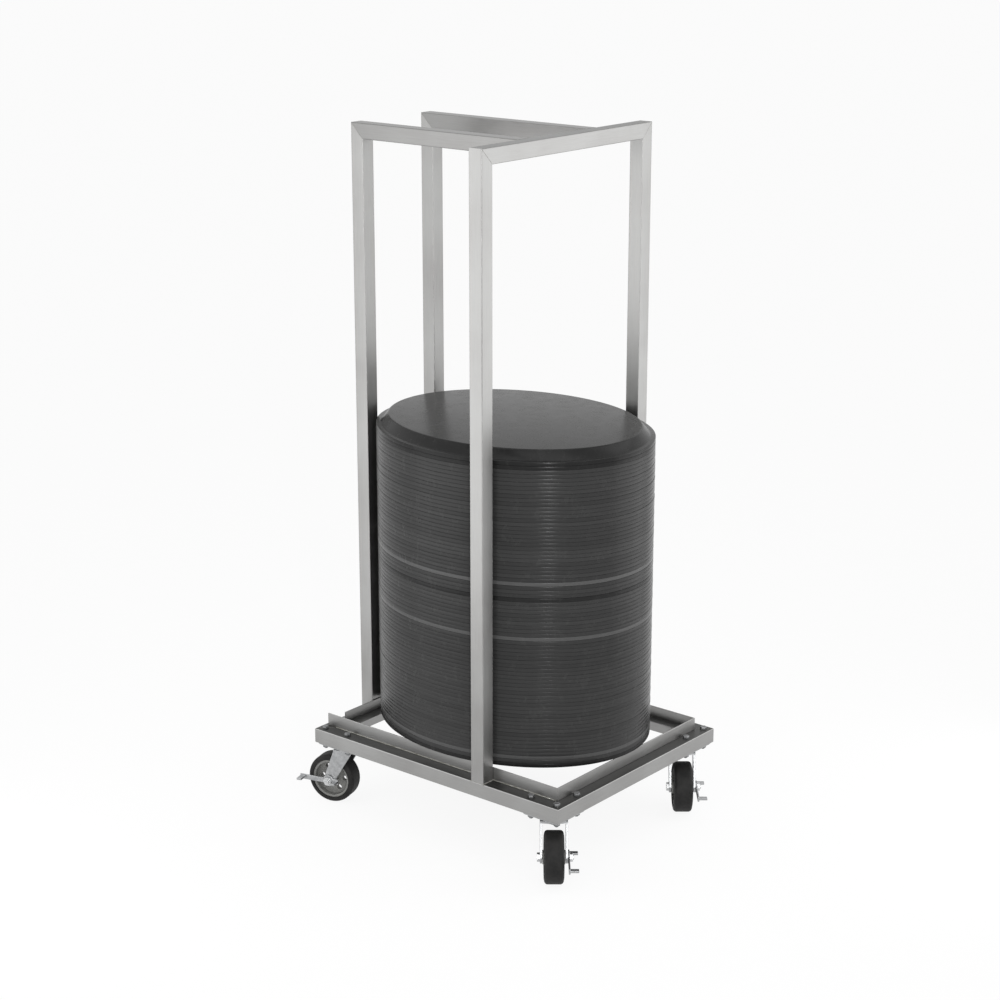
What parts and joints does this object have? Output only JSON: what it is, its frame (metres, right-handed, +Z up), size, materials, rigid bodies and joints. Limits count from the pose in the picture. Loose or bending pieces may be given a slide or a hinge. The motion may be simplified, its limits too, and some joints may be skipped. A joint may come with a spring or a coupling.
{
  "type": "oval tray transport cart",
  "caption": "Stainless steel square tube cart on braked swivel casters, carrying a tall stack of upturned oval trays.",
  "frame": {"origin": "on the floor, under the middle of the base frame", "axes": "+Z up, +X toward the loading end, -Y and +X sides face the picture's camera"},
  "size_m": [0.9036, 0.706, 1.71],
  "materials": {
    "stainless_tube": "brushed",
    "stainless_angle": "mill",
    "zinc_fasteners": "zinc plated",
    "zinc_caster": "zinc plated",
    "bearing_steel": "polished",
    "tyre_rubber": "matt",
    "wheel_plastic": "satin",
    "tray_plastic": "gloss"
  },
  "bodies": {
    "frame": {"base_rail_right": "stainless_tube", "base_rail_left": "stainless_tube", "base_rail_front": "stainless_tube", "base_rail_rear": "stainless_tube", "front_post_right": "stainless_tube", "front_post_left": "stainless_tube", "rear_post_right": "stainless_tube", "rear_post_left": "stainless_tube", "top_crossbar": "stainless_tube", "top_rail_right": "stainless_tube", "top_rail_left": "stainless_tube", "rest_rail_right": "stainless_angle", "rest_rail_left": "stainless_angle", "rest_rail_front": "stainless_angle", "rest_rail_rear": "stainless_angle", "corner_gussets": "stainless_angle", "caster_bolts_long": "zinc_fasteners", "caster_bolts_short": "zinc_fasteners", "caster_nuts": "zinc_fasteners", "caster_front_right_top_plate": "zinc_caster", "caster_front_right_kingpin": "zinc_caster", "caster_front_right_bearing_balls": "bearing_steel", "caster_front_left_top_plate": "zinc_caster", "caster_front_left_kingpin": "zinc_caster", "caster_front_left_bearing_balls": "bearing_steel", "caster_rear_right_top_plate": "zinc_caster", "caster_rear_right_kingpin": "zinc_caster", "caster_rear_right_bearing_balls": "bearing_steel", "caster_rear_left_top_plate": "zinc_caster", "caster_rear_left_kingpin": "zinc_caster", "caster_rear_left_bearing_balls": "bearing_steel"},
    "caster_front_right_swivel": {"caster_front_right_fork": "zinc_caster", "caster_front_right_axle": "zinc_fasteners"},
    "caster_front_right_wheel": {"caster_front_right_wheel_core": "wheel_plastic", "caster_front_right_tyre": "tyre_rubber"},
    "caster_front_right_brake": {"caster_front_right_brake_lever": "zinc_caster"},
    "caster_front_left_swivel": {"caster_front_left_fork": "zinc_caster", "caster_front_left_axle": "zinc_fasteners"},
    "caster_front_left_wheel": {"caster_front_left_wheel_core": "wheel_plastic", "caster_front_left_tyre": "tyre_rubber"},
    "caster_front_left_brake": {"caster_front_left_brake_lever": "zinc_caster"},
    "caster_rear_right_swivel": {"caster_rear_right_fork": "zinc_caster", "caster_rear_right_axle": "zinc_fasteners"},
    "caster_rear_right_wheel": {"caster_rear_right_wheel_core": "wheel_plastic", "caster_rear_right_tyre": "tyre_rubber"},
    "caster_rear_right_brake": {"caster_rear_right_brake_lever": "zinc_caster"},
    "caster_rear_left_swivel": {"caster_rear_left_fork": "zinc_caster", "caster_rear_left_axle": "zinc_fasteners"},
    "caster_rear_left_wheel": {"caster_rear_left_wheel_core": "wheel_plastic", "caster_rear_left_tyre": "tyre_rubber"},
    "caster_rear_left_brake": {"caster_rear_left_brake_lever": "zinc_caster"},
    "tray_load": {"tray_stack": "tray_plastic", "bottom_tray": "tray_plastic"},
    "tray_on_top": {"top_tray": "tray_plastic"}
  },
  "joints": [
    {"name": "caster_front_right_swivel_turn", "type": "hinge", "parent": "frame", "child": "caster_front_right_swivel", "pos_m": [0.33285, -0.26285, 0.15], "axis": [0, 0, 1], "continuous": true},
    {"name": "caster_front_right_wheel_spin", "type": "hinge", "parent": "caster_front_right_swivel", "child": "caster_front_right_wheel", "pos_m": [0.35687, -0.2923, 0.0635], "axis": [0.7749, 0.632, 0], "continuous": true},
    {"name": "caster_front_right_brake_press", "type": "hinge", "parent": "caster_front_right_swivel", "child": "caster_front_right_brake", "pos_m": [0.35687, -0.2923, 0.0635], "axis": [0.7749, 0.632, 0], "range_deg": [0, 25]},
    {"name": "caster_front_left_swivel_turn", "type": "hinge", "parent": "frame", "child": "caster_front_left_swivel", "pos_m": [0.33285, 0.26285, 0.15], "axis": [0, 0, 1], "continuous": true},
    {"name": "caster_front_left_wheel_spin", "type": "hinge", "parent": "caster_front_left_swivel", "child": "caster_front_left_wheel", "pos_m": [0.35687, 0.2334, 0.0635], "axis": [0.7749, 0.632, 0], "continuous": true},
    {"name": "caster_front_left_brake_press", "type": "hinge", "parent": "caster_front_left_swivel", "child": "caster_front_left_brake", "pos_m": [0.35687, 0.2334, 0.0635], "axis": [0.7749, 0.632, 0], "range_deg": [0, 25]},
    {"name": "caster_rear_right_swivel_turn", "type": "hinge", "parent": "frame", "child": "caster_rear_right_swivel", "pos_m": [-0.33285, -0.26285, 0.15], "axis": [0, 0, 1], "continuous": true},
    {"name": "caster_rear_right_wheel_spin", "type": "hinge", "parent": "caster_rear_right_swivel", "child": "caster_rear_right_wheel", "pos_m": [-0.36934, -0.27345, 0.0635], "axis": [0.279, -0.9603, 0], "continuous": true},
    {"name": "caster_rear_right_brake_press", "type": "hinge", "parent": "caster_rear_right_swivel", "child": "caster_rear_right_brake", "pos_m": [-0.36934, -0.27345, 0.0635], "axis": [0.279, -0.9603, 0], "range_deg": [0, 25]},
    {"name": "caster_rear_left_swivel_turn", "type": "hinge", "parent": "frame", "child": "caster_rear_left_swivel", "pos_m": [-0.33285, 0.26285, 0.15], "axis": [0, 0, 1], "continuous": true},
    {"name": "caster_rear_left_wheel_spin", "type": "hinge", "parent": "caster_rear_left_swivel", "child": "caster_rear_left_wheel", "pos_m": [-0.35687, 0.2923, 0.0635], "axis": [-0.7749, -0.632, 0], "continuous": true},
    {"name": "caster_rear_left_brake_press", "type": "hinge", "parent": "caster_rear_left_swivel", "child": "caster_rear_left_brake", "pos_m": [-0.35687, 0.2923, 0.0635], "axis": [-0.7749, -0.632, 0], "range_deg": [0, 25]},
    {"name": "tray_stack_lift", "type": "slide", "parent": "frame", "child": "tray_load", "axis": [0, 0, 1], "range_m": [0, 0.35]},
    {"name": "top_tray_lift", "type": "slide", "parent": "tray_load", "child": "tray_on_top", "axis": [0, 0, 1], "range_m": [0, 0.3]}
  ]
}
